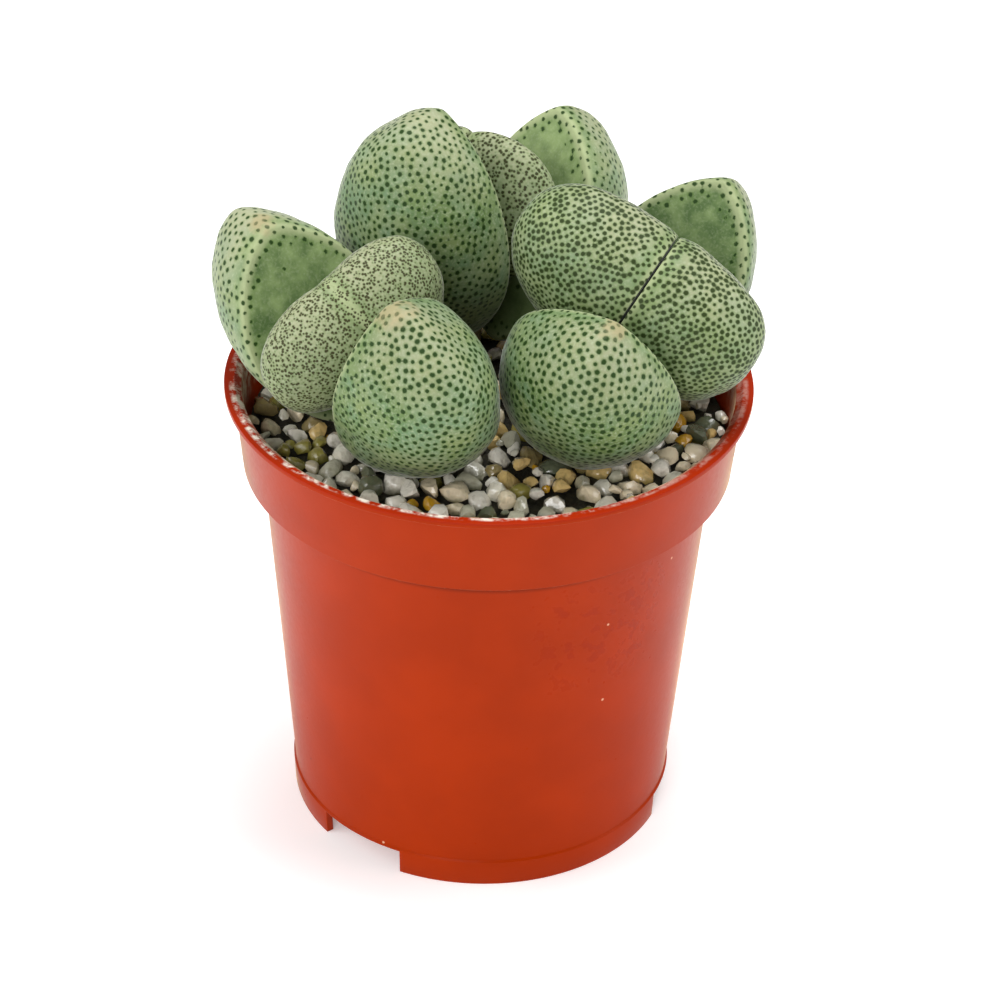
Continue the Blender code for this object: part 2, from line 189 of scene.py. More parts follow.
# How each leaf differs to the eye. dot_spacing: the least distance between its dots. grain: 0, or
# how many fine dots lie in a millimetre instead. scar: the reach of the tan patch at its tip, or
# 0.01 for none. keel: the ridge below the tip. ripeness: how brown its dots and skin are. shade and
# face_shade: how deep the green of its back and face is. The last field: how much deeper green its
# base is, partly its own colour and partly painted shade in the crevices between the leaves.
Look = namedtuple("Look", "dot_spacing dot_radius grain scar keel ripeness shade face_shade gloom")
LOOKS = {
    "left_old_back": Look(0.84, 0.25, 0.0, 2.6, 0.2, 0.0, 0.0, 0.6, 0.2),
    "left_old_front": Look(0.74, 0.26, 0.0, 4.2, 0.6, 0.0, 0.75, 0.5, 0.0),
    "left_young_front": Look(2.0, 0.135, 3.1, 0.01, 0.2, 1.0, 0.4, 0.5, 0.1),
    "left_young_back": Look(2.0, 0.135, 3.1, 0.01, 0.2, 1.0, 0.4, 0.5, 0.6),
    "rear_old_front": Look(0.72, 0.245, 0.0, 0.01, 0.15, 0.0, 0.6, 0.5, 1.0),
    # This face is paler than the others', as painted light on a face that turns up to the lamp above.
    "rear_old_back": Look(0.84, 0.25, 0.0, 0.01, 0.1, 0.0, 0.4, 0.2, 1.0),
    "rear_young_back": Look(2.0, 0.175, 2.4, 0.01, 0.2, 0.8, 0.0, 0.5, 1.0),
    "rear_young_front": Look(2.0, 0.175, 2.4, 0.01, 0.2, 0.8, 0.0, 0.5, 1.0),
    "right_old_front": Look(0.78, 0.28, 0.0, 3.0, 0.3, 0.0, 0.75, 0.5, 0.0),
    "right_old_back": Look(0.84, 0.25, 0.0, 0.01, 0.2, 0.0, 0.6, 0.8, 1.0),
    "right_young_left": Look(0.57, 0.25, 0.0, 0.01, 0.2, 0.35, 0.3, 0.5, 0.5),
    "right_young_right": Look(0.57, 0.25, 0.0, 0.01, 0.2, 0.35, 0.4, 0.5, 0.2),
}
LEAF_SIZES = (
    *("Length", "Half width", "Thickness", "Widest", "Tip point", "Heel point", "Chin", "Margin"),
    *("Face forward", "Face share", "Keel", "Relief", "Dot spacing", "Dot radius", "Grain", "Scar"),
    *("Ripeness", "Shade", "Face shade", "Gloom"),
)

# The studio, in metres: the camera's place and aim are from the middle of the rim.
CAMERA_PLACE = (0.0, -0.3051, 0.1864)
CAMERA_AIM = (0.001455, 0.0, -0.0153)
CAMERA_LENS = 123.76
CAMERA_ROLL_DEG = 1.469
RIM_HEIGHT = 0.051
LIGHTS_AIM = (0.0, 0.0, 0.045)
WHITE = (1.0, 1.0, 1.0, 1.0)
FLOOR_SIZE = 3000.0


def linear(code):
    """The linear colour of an sRGB hex value, with alpha 1."""
    channels = [int(code[i : i + 2], 16) / 255 for i in (1, 3, 5)]
    return (*[c / 12.92 if c <= 0.04045 else ((c + 0.055) / 1.055) ** 2.4 for c in channels], 1.0)


def polar(radius, angle):
    return radius * math.cos(angle), radius * math.sin(angle)


def feed(tree, node, inputs):
    """Sets or links the node's usable sockets, in order or by name."""
    usable = [socket for socket in node.inputs if socket.enabled]
    named = {socket.name: socket for socket in reversed(usable)}
    given = inputs.items() if isinstance(inputs, dict) else enumerate(inputs)
    for key, value in given:
        socket = named[key] if isinstance(key, str) else usable[key]
        if isinstance(value, bpy.types.Node):
            value = next(output for output in value.outputs if output.enabled)
        if isinstance(value, bpy.types.NodeSocket):
            tree.links.new(value, socket)
        else:
            socket.default_value = value


def add(tree, kind, inputs=(), operation=None, **settings):
    """Adds a node with its operation and other settings, and feeds its sockets.

    In order, a Map Range takes its value, where that starts and ends, and what it becomes there.
    A noise takes its place, scale, detail and roughness, and a pattern of cells its place and scale.
    """
    node = tree.nodes.new(kind)
    if operation:
        node.operation = operation
    for name, value in settings.items():
        setattr(node, name, value)
    feed(tree, node, inputs)
    return node


def layered(tree, colour, layers):
    """Lays each layer's colour over what is below it, by the layer's amount."""
    for amount, code in layers:
        colour = add(tree, MIX, (amount, colour, linear(code)), data_type="RGBA")
    return colour


def kept(tree, geometry, values):
    """Stores each value on the geometry's points under its name, for later steps and the skin."""
    for name, value in values.items():
        geometry = add(
            tree,
            "GeometryNodeStoreNamedAttribute",
            {"Geometry": geometry, "Name": name, "Value": value},
            data_type="FLOAT",
            domain="POINT",
        )
    return geometry


def stored(tree, **kinds):
    """Reads values that the geometry's points carry, by their names and kinds."""
    return [
        add(tree, "GeometryNodeInputNamedAttribute", {"Name": name}, data_type=kind)
        for name, kind in kinds.items()
    ]


def new_tree(name, inputs):
    """A geometry tree with a geometry in and out, and one named socket for each input."""
    tree = bpy.data.node_groups.new(name, "GeometryNodeTree")
    tree.interface.new_socket("Geometry", in_out="INPUT", socket_type="NodeSocketGeometry")
    tree.interface.new_socket("Geometry", in_out="OUTPUT", socket_type="NodeSocketGeometry")
    for label, kind in inputs.items():
        tree.interface.new_socket(label, in_out="INPUT", socket_type=f"NodeSocket{kind}")
    return tree


def end_tree(tree, geometry, material):
    """Ends the tree with real meshes in place of instances, in their material."""
    geometry = add(tree, "GeometryNodeRealizeInstances", (geometry,))
    geometry = add(tree, "GeometryNodeSetMaterial", {"Geometry": geometry, "Material": material})
    add(tree, "NodeGroupOutput", (geometry,))


def run_tree(obj, tree, values):
    """Runs the tree on the object and keeps the result as its plain mesh."""
    modifier = obj.modifiers.new(tree.name, "NODES")
    modifier.node_group = tree
    for item in tree.interface.items_tree:
        if item.item_type == "SOCKET" and item.in_out == "INPUT" and item.name in values:
            modifier[item.identifier] = values[item.name]
    freeze(obj)


def freeze(obj):
    """Turns the object's modifiers into plain mesh."""
    graph = bpy.context.evaluated_depsgraph_get()
    finished = bpy.data.meshes.new_from_object(
        obj.evaluated_get(graph), preserve_all_data_layers=True, depsgraph=graph
    )
    obj.modifiers.clear()
    obj.data = finished


def new_object(name, mesh, material=None):
    obj = bpy.data.objects.new(name, mesh)
    bpy.context.scene.collection.objects.link(obj)
    if material:
        mesh.materials.append(material)
    return obj


def mesh_of(name, bm, scale=MM):
    """A mesh in metres from a bmesh in millimetres, with its faces turned outwards."""
    bmesh.ops.recalc_face_normals(bm, faces=bm.faces)
    bm.transform(Matrix.Scale(scale, 4))
    mesh = bpy.data.meshes.new(name)
    bm.to_mesh(mesh)
    bm.free()
    return mesh


def smooth(mesh, sharpest):
    """Shades the mesh smooth but for edges sharper than an angle in degrees."""
    mesh.shade_smooth()
    mesh.set_sharp_from_angle(angle=math.radians(sharpest))


def surface(name):
    """A new material, its tree and its Principled shader."""
    material = bpy.data.materials.new(name)
    material.use_nodes = True
    return material, material.node_tree, material.node_tree.nodes["Principled BSDF"]


def millimetres(tree):
    """The object's own coordinates in millimetres from the pot's axis."""
    place = add(tree, "ShaderNodeTexCoord").outputs["Object"]
    back = (-POT_AXIS[0], -POT_AXIS[1], 0.0)
    scale = (1 / MM, 1 / MM, 1 / MM)
    return add(tree, "ShaderNodeMapping", {"Vector": place, "Location": back, "Scale": scale})


def settle(piece, node):
    """Moves a finished piece from the pot's axis to its place, and ties it to the frame."""
    piece.data.transform(Matrix.Translation((POT_AXIS[0] * MM, POT_AXIS[1] * MM, 0)))
    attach(piece, "root")
    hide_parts(node)


class PotSettings(bpy.types.PropertyGroup):
    """Sizes and colour of the pot."""

    rim_radius: FloatProperty(
        name="Rim radius", description="Outer radius of the rim", default=0.0275, unit="LENGTH"
    )
    height: FloatProperty(
        name="Height", description="Height of the rim over the foot", default=0.051, unit="LENGTH"
    )
    colour: FloatVectorProperty(
        name="Plastic colour",
        description="Colour of the moulded plastic",
        default=linear("#A22E00"),
        **COLOUR,
    )


class GritSettings(bpy.types.PropertyGroup):
    """Sizes of the top dressing."""

    level: FloatProperty(
        name="Grit level", description="Height of the grit over the foot", default=0.0461, unit="LENGTH"
    )
    largest: FloatProperty(
        name="Largest chip", description="Radius of the largest chip", default=0.0015, unit="LENGTH"
    )
    smallest: FloatProperty(
        name="Smallest chip", description="Radius of the smallest chip", default=0.0004, unit="LENGTH"
    )
    seed: IntProperty(name="Seed", description="Which random layout the chips take", default=5)


class LeafSettings(bpy.types.PropertyGroup):
    """Colours and relief of the leaves."""

    bloom: FloatVectorProperty(
        name="Waxy skin",
        description="Grey-green of the palest waxy backs",
        default=linear("#929F7A"),
        **COLOUR,
    )
    flesh: FloatVectorProperty(
        name="Green flesh",
        description="Green of the palest inner faces",
        default=linear("#869A66"),
        **COLOUR,
    )
    dots: FloatVectorProperty(
        name="Dots",
        description="Dark green of the window dots",
        default=linear("#1F380F"),
        **COLOUR,
    )
    relief: FloatProperty(
        name="Relief", description="Depth of the shallow dents in the skin", default=0.0002, unit="LENGTH"
    )
    seed: IntProperty(name="Seed", description="Which random layout the dots take", default=3)


def ring_shares(tree, size, z):
    """How far each ring has come over the face, the margin and the back, from 0 to 1 on each."""
    latitude = add(tree, MATH, (z,), "ARCCOSINE")
    face_end = add(tree, MATH, (size["Face share"], -math.pi, math.pi), "MULTIPLY_ADD")
    margin_end = add(tree, MATH, (face_end, math.pi * MARGIN_SHARE), "SUBTRACT")
    spans = ((math.pi, face_end), (face_end, margin_end), (margin_end, 0.0))
    return [add(tree, RANGE, (latitude, *span)) for span in spans]


def leaf_profile(tree, size, on_face, on_margin, on_back):
    """How far out each ring reaches and how deep it lies, as shares, and how square it may be."""
    first = math.radians(FIRST_BACK_ANGLE)
    angle = add(tree, MATH, (on_margin, first), "MULTIPLY")
    angle = add(tree, MATH, (on_back, math.pi / 2 - first, angle), "MULTIPLY_ADD")
    cosine = add(tree, MATH, (angle,), "COSINE")
    sine = add(tree, MATH, (angle,), "SINE")
    reach = add(tree, MATH, (cosine, BACK_FULLNESS), "POWER")
    before = add(tree, MATH, (1.0, on_margin), "SUBTRACT")
    inset = before
    for factor in (before, size["Margin"]):
        inset = add(tree, MATH, (inset, factor), "MULTIPLY")
    reach = add(tree, MATH, (reach, inset), "SUBTRACT")
    reach = add(tree, MATH, (reach, on_face), "MULTIPLY")
    depth = add(tree, MATH, (sine, BACK_ROUNDNESS), "POWER")
    depth = add(tree, MATH, (depth, on_margin), "MULTIPLY")
    softness = add(tree, MATH, (cosine, cosine), "MULTIPLY")
    return reach, depth, softness, before


def bare_leaf(tree, size):
    """The leaf's form: a flat face with a narrow round margin, and a full domed back.

    A sphere's rings are laid over it from the middle of the face to the middle of the back.
    """
    sphere = add(tree, "GeometryNodeMeshUVSphere", (size["Segments"], size["Rings"], 1.0))
    x, y, z = add(tree, "ShaderNodeSeparateXYZ", (add(tree, "GeometryNodeInputPosition"),)).outputs
    on_face, on_margin, on_back = ring_shares(tree, size, z)
    reach, depth, softness, before = leaf_profile(tree, size, on_face, on_margin, on_back)

    around = add(tree, "ShaderNodeCombineXYZ", (x, y, 0.0))
    around = add(tree, VECTORS, (around,), "NORMALIZE")
    up, across, _ = add(tree, "ShaderNodeSeparateXYZ", (around,)).outputs
    upper = add(tree, MATH, (up, 0.0), "GREATER_THAN")
    heel_height = add(tree, MATH, (size["Length"], size["Widest"]), "MULTIPLY")
    tip_height = add(tree, MATH, (size["Length"], heel_height), "SUBTRACT")
    corner = add(tree, MIX, (upper, size["Heel point"], size["Tip point"]))
    height = add(tree, MIX, (upper, heel_height, tip_height))
    power = add(tree, MATH, (corner, 1.0), "SUBTRACT")
    power = add(tree, MATH, (power, softness, 1.0), "MULTIPLY_ADD")
    side = add(tree, MATH, (across,), "SIGN")
    wide = add(tree, MATH, (across,), "ABSOLUTE")
    wide = add(tree, MATH, (wide, power), "POWER")
    for factor in (side, reach, size["Half width"]):
        wide = add(tree, MATH, (wide, factor), "MULTIPLY")
    climb = add(tree, MATH, (up, reach), "MULTIPLY")
    tall = add(tree, MATH, (climb, height, heel_height), "MULTIPLY_ADD")
    chin = add(tree, MATH, (size["Chin"], tip_height), "MULTIPLY")
    tall = add(tree, MATH, (chin, depth, tall), "MULTIPLY_ADD")
    out = add(tree, MATH, (size["Thickness"], depth), "MULTIPLY")
    forward = add(tree, MATH, (before, size["Face forward"]), "MULTIPLY")
    deep = add(tree, MATH, (out, forward), "SUBTRACT")
    place = add(tree, "ShaderNodeCombineXYZ", (wide, deep, tall))

    inward = add(tree, MATH, (1.0, on_face), "SUBTRACT")
    edge = add(tree, MATH, (inward, size["Half width"], out), "MULTIPLY_ADD")
    ridge = add(tree, MATH, (climb, on_margin), "MULTIPLY", use_clamp=True)
    # These all follow from where the sphere's points lie, so they are kept before the points move.
    geometry = kept(tree, sphere, {"back": on_margin, "edge": edge, "ridge": ridge, "wide": wide})
    return add(tree, "GeometryNodeSetPosition", {"Geometry": geometry, "Position": place})


def dented(tree, size, geometry):
    """Presses broad shallow dents into the leaf's back and raises the keel below its tip."""
    back, ridge, wide = stored(tree, back="FLOAT", ridge="FLOAT", wide="FLOAT")
    place = add(tree, "GeometryNodeInputPosition")
    shift = add(tree, MATH, (size["Seed"], SEED_SHIFT), "MULTIPLY")
    moved = add(tree, VECTORS, (place, shift), "ADD")
    dents = add(tree, NOISE, (moved, 0.16, 2.0, 0.45))
    dents = add(tree, RANGE, (dents, 0.3, 0.7, -1.6, 0.2))
    for factor in (size["Relief"], back):
        dents = add(tree, MATH, (dents, factor), "MULTIPLY")
    wide = add(tree, MATH, (wide, KEEL_NARROWNESS), "MULTIPLY")
    wide = add(tree, MATH, (wide, wide), "MULTIPLY")
    fall = add(tree, MATH, (wide, -1.0), "MULTIPLY")
    fall = add(tree, MATH, (fall,), "EXPONENT")
    ridge = add(tree, MATH, (fall, ridge), "MULTIPLY")
    rise = add(tree, MATH, (ridge, size["Keel"], dents), "MULTIPLY_ADD")
    normal = add(tree, "GeometryNodeInputNormal")
    offset = add(tree, VECTORS, (normal, rise), "SCALE")
    return add(tree, "GeometryNodeSetPosition", {"Geometry": geometry, "Offset": offset})


def dotted(tree, size, geometry):
    """Scatters window dots, and keeps how far off the nearest one is, in its own radii."""
    back, edge, reach = stored(tree, back="FLOAT", edge="FLOAT", reach="FLOAT")
    place = add(tree, "GeometryNodeInputPosition")
    share = add(tree, RANGE, (edge, *DOTTED_EDGE, 1.0, 0.0))
    for least in (back, FACE_DOTS):
        share = add(tree, MATH, (share, least), "MAXIMUM")
    packing = add(tree, MATH, (size["Dot spacing"], -2.0), "POWER")
    packing = add(tree, MATH, (packing, DOT_TRIES), "MULTIPLY")
    dots = add(
        tree,
        "GeometryNodeDistributePointsOnFaces",
        {
            "Mesh": geometry,
            "Distance Min": size["Dot spacing"],
            "Density Max": packing,
            "Density Factor": share,
            "Seed": size["Seed"],
        },
        distribute_method="POISSON",
    )
    spread = {"Min": DOT_VARIATION[0], "Max": DOT_VARIATION[1], "Seed": size["Seed"]}
    variation = add(tree, "FunctionNodeRandomValue", spread, data_type="FLOAT")
    dots = kept(tree, dots, {"reach": variation})
    nearest = add(tree, "GeometryNodeSampleNearest", (dots,), domain="POINT")
    sampled = []
    for value, kind in ((place, "FLOAT_VECTOR"), (reach, "FLOAT")):
        inputs = {"Geometry": dots, "Value": value, "Index": nearest}
        sampled.append(add(tree, "GeometryNodeSampleIndex", inputs, data_type=kind))
    centre, reach = sampled
    reach = add(tree, MATH, (reach, size["Dot radius"]), "MULTIPLY")
    away = add(tree, VECTORS, (place, centre), "DISTANCE")
    return kept(tree, geometry, {"dot": add(tree, MATH, (away, reach), "DIVIDE")})


def scarred_and_shaded(tree, size, geometry):
    """Keeps on the leaf what its skin needs to know: its scar, its tones and how fine its dots are."""
    place = add(tree, "GeometryNodeInputPosition")
    low = add(tree, MATH, (size["Thickness"], 0.1), "MULTIPLY")
    apex = add(tree, "ShaderNodeCombineXYZ", (0.0, low, size["Length"]))
    away = add(tree, VECTORS, (place, apex), "DISTANCE")
    scar = add(tree, MATH, (away, size["Scar"]), "DIVIDE")
    scar = add(tree, MATH, (1.0, scar), "SUBTRACT", use_clamp=True)
    (back,) = stored(tree, back="FLOAT")
    values = {
        "scar": scar,
        "ripe": size["Ripeness"],
        "grain": size["Grain"],
        "dot_radius": size["Dot radius"],
        "gloom": size["Gloom"],
        "shade": add(tree, MIX, (back, size["Face shade"], size["Shade"])),
    }
    return kept(tree, geometry, values)


def leaf_tree():
    """Grows one leaf from its sizes, dents its skin and lays its window dots."""
    inputs = dict.fromkeys(LEAF_SIZES, "Float")
    inputs.update({"Segments": "Int", "Rings": "Int", "Seed": "Int", "Skin": "Material"})
    tree = new_tree("leaf", inputs)
    size = add(tree, "NodeGroupInput").outputs
    geometry = bare_leaf(tree, size)
    for step in (dented, dotted, scarred_and_shaded):
        geometry = step(tree, size, geometry)
    geometry = add(tree, "GeometryNodeTransform", {"Geometry": geometry, "Scale": (MM, MM, MM)})
    geometry = add(tree, "GeometryNodeSetShadeSmooth", {"Geometry": geometry, "Shade Smooth": True})
    end_tree(tree, geometry, size["Skin"])
    return tree


def leaf_inputs(leaf, number, settings, skin):
    """What the leaf tree needs for one leaf, under the labels of its sockets."""
    look = LOOKS[f"{leaf.plant}_{leaf.name}"]
    laid = YOUNG_MESH if leaf.name.startswith("young") else OLD_MESH
    segments, rings = FINE_MESH if look.grain else laid
    given = {
        **leaf._asdict(),
        **leaf.kind._asdict(),
        **look._asdict(),
        "face_share": OPEN_FACE_SHARE if leaf.name == "old_back" else HIDDEN_FACE_SHARE,
        "segments": segments,
        "rings": rings,
        "relief": settings.relief / MM,
        "seed": settings.seed + number,
        "skin": skin,
    }
    return {name.replace("_", " ").capitalize(): value for name, value in given.items()}


def leaf_matrix(leaf):
    """Places the leaf from its crown, in metres."""
    outward = Matrix.Rotation(math.radians(leaf.azimuth - 90), 4, "Z")
    lean = Matrix.Rotation(math.radians(-leaf.lean), 4, "X")
    twist = Matrix.Rotation(math.radians(leaf.twist), 4, "Y")
    turn = outward @ lean @ twist
    seat = turn @ Vector((leaf.aside, leaf.kind.stand_off, 0)) + Vector((0, 0, leaf.lift))
    crown = Vector((*CROWNS[leaf.plant], CROWN_HEIGHT))
    return Matrix.Translation((crown + seat) * MM) @ turn


def nearest_dot(tree, place, read):
    """How far off the nearest dot is, in dot radii.

    The dots of some young leaves are too fine to lay one by one, so they are a pattern of cells.
    """
    cells = add(tree, "ShaderNodeTexVoronoi", (place, read["grain"]))
    fine = add(tree, MATH, (read["grain"], read["dot_radius"]), "MULTIPLY")
    fine = add(tree, MATH, (cells, fine), "DIVIDE")
    is_fine = add(tree, MATH, (read["grain"], 0.5), "GREATER_THAN")
    return add(tree, MIX, (is_fine, read["dot"], fine))


def skin_ground(tree, place, read, settings):
    """The green of the back and the face, before dots, wax and scars."""
    # Drifts of deeper green: broad ones of 5 to 8 mm on the back, and blotches of 2 mm on the face.
    tones = []
    for scale, detail, strength, pale, dark in (
        (0.17, 2.0, 2.0, settings.bloom, "#647C4E"),
        (0.5, 3.0, 2.4, settings.flesh, "#4F663B"),
    ):
        drift = add(tree, NOISE, (place, scale, detail))
        drift = add(tree, MATH, (drift, 0.5), "SUBTRACT")
        deep = add(tree, MATH, (drift, strength, read["shade"]), "MULTIPLY_ADD", use_clamp=True)
        tones.append(layered(tree, pale, [(deep, dark)]))
    back, face = tones

    # Warmer and cooler patches of 3 mm, brown where the skin is ripe, and a paler grey towards the tip,
    # partly a thicker bloom and partly a painted highlight on the leaf's top.
    hue = add(tree, NOISE, (place, 0.33, 3.0))
    warm = add(tree, RANGE, (hue, 0.5, 0.68, 0.0, 0.35))
    cool = add(tree, RANGE, (hue, 0.5, 0.34, 0.0, 0.5))
    ripe = add(tree, MATH, (read["ripe"], 0.8), "MULTIPLY")
    crown = add(tree, RANGE, (read["ridge"], 0.45, 0.97, 0.0, 0.6))
    drifts = ((warm, "#8B9656"), (cool, "#6B8C70"), (ripe, "#939A77"), (crown, "#ABA98C"))
    back = layered(tree, back, drifts)
    return add(tree, MIX, (read["back"], face, back), data_type="RGBA")


def window_dots(tree, place, dot, scar):
    """The dots, soft at the rim and dark at the middle, and how much of them the scar lets show."""
    warp = add(tree, NOISE, (place, 2.6, 1.0))
    warp = add(tree, MATH, (warp, 0.5), "SUBTRACT")
    warp = add(tree, MATH, (warp, 0.6, dot), "MULTIPLY_ADD")
    window = add(tree, RANGE, (warp, 0.66, 1.3, 1.0, 0.0), interpolation_type="SMOOTHSTEP")
    veil = add(tree, MATH, (scar, -0.5, 0.97), "MULTIPLY_ADD")
    return window, add(tree, MATH, (window, veil), "MULTIPLY")


def leaf_skin(settings):
    """Waxy succulent skin: a matt grey-green bloom over green flesh, with sunken dark window dots."""
    material, tree, shader = surface("waxy_leaf_skin")
    place = millimetres(tree)
    names = ("ripe", "back", "edge", "dot", "scar", "shade", "ridge", "grain", "dot_radius", "gloom")
    read = {
        name: add(tree, "ShaderNodeAttribute", attribute_name=name).outputs["Fac"] for name in names
    }
    dot = nearest_dot(tree, place, read)

    # The green shows through more in a ring round each window dot.
    halo = add(tree, RANGE, (dot, 1.0, 1.9, 0.5, 0.0))
    # Wax bloom, rubbed into specks of 0.1 to 0.3 mm.
    specks = add(tree, NOISE, (place, 3.6, 4.0))
    wax = add(tree, RANGE, (specks, 0.48, 0.7, 0.0, 0.5))
    thick = add(tree, MATH, (read["back"], 0.4), "MAXIMUM")
    wax = add(tree, MATH, (wax, thick), "MULTIPLY")
    # The margin's pale line, under half a millimetre wide.
    line = add(tree, RANGE, (read["edge"], 0.15, 0.7, 0.6, 0.0))
    # Old scar tissue at the tip, tan and broken at its rim.
    broken = add(tree, NOISE, (place, 0.9, 4.0))
    scar = add(tree, MATH, (read["scar"], broken), "MULTIPLY")
    scar = add(tree, RANGE, (scar, 0.18, 0.38, 0.0, 0.75))
    marks = ((halo, "#5E7A3E"), (wax, "#A9B493"), (line, "#AEB68C"), (scar, "#AA9D78"))
    ground = layered(tree, skin_ground(tree, place, read, settings), marks)

    window, shown = window_dots(tree, place, dot, scar)
    ink = layered(tree, settings.dots, [(read["ripe"], "#3A3620")])
    colour = add(tree, MIX, (shown, ground, ink), data_type="RGBA")
    # Down where leaves press together they carry no bloom and are a deeper green; the darkening there is
    # also painted shade for the crevices between them.
    height = add(tree, "ShaderNodeSeparateXYZ", (place,)).outputs["Z"]
    low = add(tree, RANGE, (height, 61.0, 53.0, 0.0, 0.7))
    low = add(tree, MATH, (low, read["gloom"]), "MULTIPLY")

    pits = add(tree, NOISE, (place, 1.6, 3.0))
    relief = add(tree, MATH, (specks, 0.25, pits), "MULTIPLY_ADD")
    relief = add(tree, MATH, (window, -0.5, relief), "MULTIPLY_ADD")
    bump = {"Strength": 0.35, "Distance": 0.1 * MM, "Height": relief}
    finish = {
        "Base Color": layered(tree, colour, [(low, "#2B3A1A")]),
        "Roughness": add(tree, RANGE, (specks, 0.0, 1.0, 0.38, 0.58)),
        "IOR": 1.45,
        "Specular IOR Level": 0.15,
        "Sheen Weight": 0.3,
        "Sheen Roughness": 0.22,
        "Normal": add(tree, "ShaderNodeBump", bump),
    }
    feed(tree, shader, finish)
    return material


def collar_inner_radius(height, top):
    along = (height - COLLAR_BOTTOM) / (top - COLLAR_BOTTOM)
    return COLLAR_BOTTOM_RADIUS + along * (COLLAR_TOP_RADIUS - COLLAR_BOTTOM_RADIUS) - WALL


def body_inner_radius(height):
    along = (height - FOOT_LINE) / (COLLAR_BOTTOM - FOOT_LINE)
    return FOOT_LINE_RADIUS + along * (BODY_TOP_RADIUS - FOOT_LINE_RADIUS) - WALL


def pot_profile(settings):
    """Outline of the pot's wall as (radius, height), all the way round."""
    rim = settings.rim_radius / MM
    top = settings.height / MM
    foot_top = FOOT_LINE - FOOT_LEDGE
    foot_radius = FOOT_LINE_RADIUS + FOOT_LEDGE
    under = top - LIP_THICKNESS
    return (
        (rim, top),
        (rim, under),
        (COLLAR_TOP_RADIUS, under),
        (COLLAR_BOTTOM_RADIUS, COLLAR_BOTTOM),
        (BODY_TOP_RADIUS, COLLAR_BOTTOM),
        (FOOT_LINE_RADIUS, FOOT_LINE),
        (foot_radius, foot_top),
        (foot_radius - FOOT_TAPER, 0.0),
        (foot_radius - FOOT_TAPER - WALL, 0.0),
        (foot_radius - WALL, FLOOR_UNDERSIDE),
        (CENTRE_HOLE_RADIUS, FLOOR_UNDERSIDE),
        (CENTRE_HOLE_RADIUS, FLOOR_TOP),
        (body_inner_radius(FLOOR_TOP), FLOOR_TOP),
        (body_inner_radius(LEDGE_TOP), LEDGE_TOP),
        (collar_inner_radius(LEDGE_TOP, top), LEDGE_TOP),
        (collar_inner_radius(under, top), under),
        (rim - RIM_LAND, top),
    )


def skinned(rings, closed_loop=False):
    """A bmesh laid over rings of points. An open one is capped, and a closed one is a ring."""
    bm = bmesh.new()
    rings = [[bm.verts.new(point) for point in ring] for ring in rings]
    sides = len(rings[0])
    for ring, following in zip(rings, rings[1:] + rings[:1] if closed_loop else rings[1:]):
        for i in range(sides):
            k = (i + 1) % sides
            bm.faces.new((ring[i], ring[k], following[k], following[i]))
    if not closed_loop:
        bm.faces.new(rings[0])
        bm.faces.new(rings[-1])
    return bm


def turned(profile, sides, closed_loop=False, centre=(0.0, 0.0)):
    """A bmesh turned round an upright axis, from a profile of (radius, height)."""
    turns = [math.tau * i / sides for i in range(sides)]
    rings = [
        [(centre[0] + radius * math.cos(t), centre[1] + radius * math.sin(t), height) for t in turns]
        for radius, height in profile
    ]
    return skinned(rings, closed_loop)


def notch_block(azimuth):
    """What a notch takes out of the foot ring."""
    middle = math.radians(azimuth)
    half = math.radians(NOTCH_WIDTH_DEG / 2)
    inner = (FOOT_LINE_RADIUS - 3 * WALL) * math.cos(half)
    outer = FOOT_LINE_RADIUS + 3 * WALL
    corners = ((inner, -half), (outer, -half), (outer, half), (inner, half))
    heights = (-1.0, FOOT_LINE - NOTCH_TOP_DROP)
    return skinned(
        [[(*polar(radius, middle + turn), height) for radius, turn in corners] for height in heights]
    )


def cut_away(obj, bmeshes):
    """Cuts each shape out of the object and clears it up."""
    cutters = []
    for bm in bmeshes:
        cutter = new_object("cutter", mesh_of("cutter", bm))
        modifier = obj.modifiers.new("cut", "BOOLEAN")
        modifier.operation = "DIFFERENCE"
        modifier.object = cutter
        cutters.append(cutter)
    freeze(obj)
    for cutter in cutters:
        bpy.data.objects.remove(cutter, do_unlink=True)


def lime_crust(tree, place, level, z, land, top):
    """How much lime hard water left along the inner edge of the rim, heaviest at the front left."""
    slope = (COLLAR_TOP_RADIUS - COLLAR_BOTTOM_RADIUS) / (top - COLLAR_BOTTOM)
    middle = COLLAR_TOP_RADIUS - WALL / 2 - slope * top
    wall = add(tree, MATH, (z, slope, middle), "MULTIPLY_ADD")
    wall = add(tree, MATH, (land, 0.75, wall), "MULTIPLY_ADD")
    radius = add(tree, VECTORS, (level,), "LENGTH")
    proud = add(tree, MATH, (radius, wall), "SUBTRACT")
    inside = add(tree, RANGE, (proud, 0.15, -0.15))
    above = add(tree, RANGE, (z, top - 5.0, top - 2.5))
    outward = add(tree, VECTORS, (level,), "NORMALIZE")
    left = add(tree, VECTORS, (outward, (-0.65, -0.76, 0.0)), "DOT_PRODUCT")
    left = add(tree, RANGE, (left, 0.0, 0.85, 0.25, 1.0))
    crust = add(tree, NOISE, (place, 0.8, 6.0, 0.65))
    crust = add(tree, RANGE, (crust, 0.44, 0.6))
    lime = inside
    for share in (above, left, crust):
        lime = add(tree, MATH, (lime, share), "MULTIPLY")
    return lime


def dried_splashes(tree, place, level, z):
    """Where splashes dried on the right of the wall, each about 1 mm across."""
    outward = add(tree, VECTORS, (level,), "NORMALIZE")
    right = add(tree, VECTORS, (outward, (0.53, -0.85, 0.0)), "DOT_PRODUCT")
    drops = add(tree, NOISE, (place, 0.75, 2.0))
    splash = add(tree, RANGE, (drops, 0.54, 0.62))
    for span in ((right, 0.93, 0.985), (z, 25.0, 29.0), (z, 40.0, 37.0)):
        share = add(tree, RANGE, span)
        splash = add(tree, MATH, (splash, share), "MULTIPLY")
    return splash


